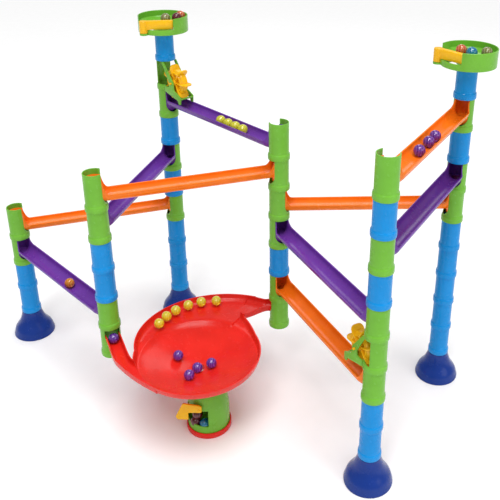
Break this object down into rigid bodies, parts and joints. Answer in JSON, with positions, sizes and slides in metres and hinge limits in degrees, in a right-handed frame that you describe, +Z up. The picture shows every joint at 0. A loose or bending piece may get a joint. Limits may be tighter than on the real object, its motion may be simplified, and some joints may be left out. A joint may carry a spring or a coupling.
{
  "type": "marble run",
  "caption": "Toy marble run: towers of stacking tubes joined by sloping troughs, with a swirl funnel over a catch cup, gated starting trays and marble-driven paddle wheels.",
  "frame": {"origin": "on the floor, under the middle of the whole object's box", "axes": "+X runs along the longer side, from the short tower at the left to the tall tower at the right, +Y to the back, +Z up"},
  "size_m": [0.8011, 0.4934, 0.572],
  "materials": {
    "blue": "smooth glossy moulding",
    "green": "smooth glossy moulding",
    "navy": "smooth glossy moulding",
    "orange": "smooth glossy moulding",
    "purple": "smooth glossy moulding",
    "red": "smooth glossy moulding",
    "yellow": "smooth glossy moulding"
  },
  "bodies": {
    "root": {"blue_tube_A1_to_A2": "blue", "blue_tube_B4_to_B5": "blue", "blue_tube_C4": "blue", "blue_tube_D1_to_D3": "blue", "blue_tube_D5": "blue", "blue_tube_D7": "blue", "blue_tube_D10": "blue", "blue_tube_E1_to_E2": "blue", "blue_tube_E6": "blue", "blue_tube_E8": "blue", "blue_tube_F1_to_F5": "blue", "blue_tube_F8": "blue", "blue_tube_F10": "blue", "green_tube_A3": "green", "green_tube_A4": "green", "green_tube_B2": "green", "green_tube_B3": "green", "green_tube_B6": "green", "green_tube_B7": "green", "green_tube_C2": "green", "green_tube_C3": "green", "green_tube_C5": "green", "green_tube_C6": "green", "green_tube_C7": "green", "green_tube_C8": "green", "green_tube_D4": "green", "green_tube_D6": "green", "green_tube_D8": "green", "green_tube_E3": "green", "green_tube_E5": "green", "green_tube_E7": "green", "green_tube_E9": "green", "green_tube_F6_F7": "green", "green_tube_F9": "green", "wheel_tube_D9": "green", "wheel_tube_E4": "green", "foot_A": "navy", "foot_D": "navy", "foot_E": "navy", "foot_F": "navy", "chute_orange_D_to_A_4": "orange", "chute_orange_C_to_B_7": "orange", "chute_orange_F_to_C_6": "orange", "chute_orange_C_to_E_3": "orange", "chute_orange_F_to_E_9": "orange", "chute_purple_A_to_B_3": "purple", "chute_purple_D_to_B_6": "purple", "chute_purple_D_to_C_8": "purple", "chute_purple_C_to_E_5": "purple", "chute_purple_F_to_E_7": "purple", "swirl_funnel": "red", "catch_cup_base": "red", "catch_cup": "green", "tray_D": "green", "tray_F": "green"},
    "wheel_D": {"paddle_wheel_D": "yellow"},
    "wheel_E": {"paddle_wheel_E": "yellow"},
    "gate_arm_D": {"gate_D": "yellow"},
    "gate_arm_F": {"gate_F": "yellow"},
    "flap": {"catch_cup_flap": "yellow"}
  },
  "joints": [
    {"name": "wheel_D_spin", "type": "hinge", "parent": "root", "child": "wheel_D", "pos_m": [-0.08569, 0.18612, 0.4635], "axis": [-0.682, -0.7314, 0], "continuous": true},
    {"name": "wheel_E_spin", "type": "hinge", "parent": "root", "child": "wheel_E", "pos_m": [0.21045, -0.18618, 0.2135], "axis": [0.866, 0.5, 0], "continuous": true},
    {"name": "gate_D_swing", "type": "hinge", "parent": "root", "child": "gate_arm_D", "pos_m": [-0.13248, 0.17093, 0.56], "axis": [0, 0, 1], "range_deg": [-75, 0]},
    {"name": "gate_F_swing", "type": "hinge", "parent": "root", "child": "gate_arm_F", "pos_m": [0.31701, 0.02628, 0.56], "axis": [0, 0, 1], "range_deg": [-75, 0]},
    {"name": "flap_rock", "type": "hinge", "parent": "root", "child": "flap", "pos_m": [-0.02398, -0.13787, 0.054], "axis": [-0.1392, -0.9903, 0], "range_deg": [-25, 20]}
  ]
}
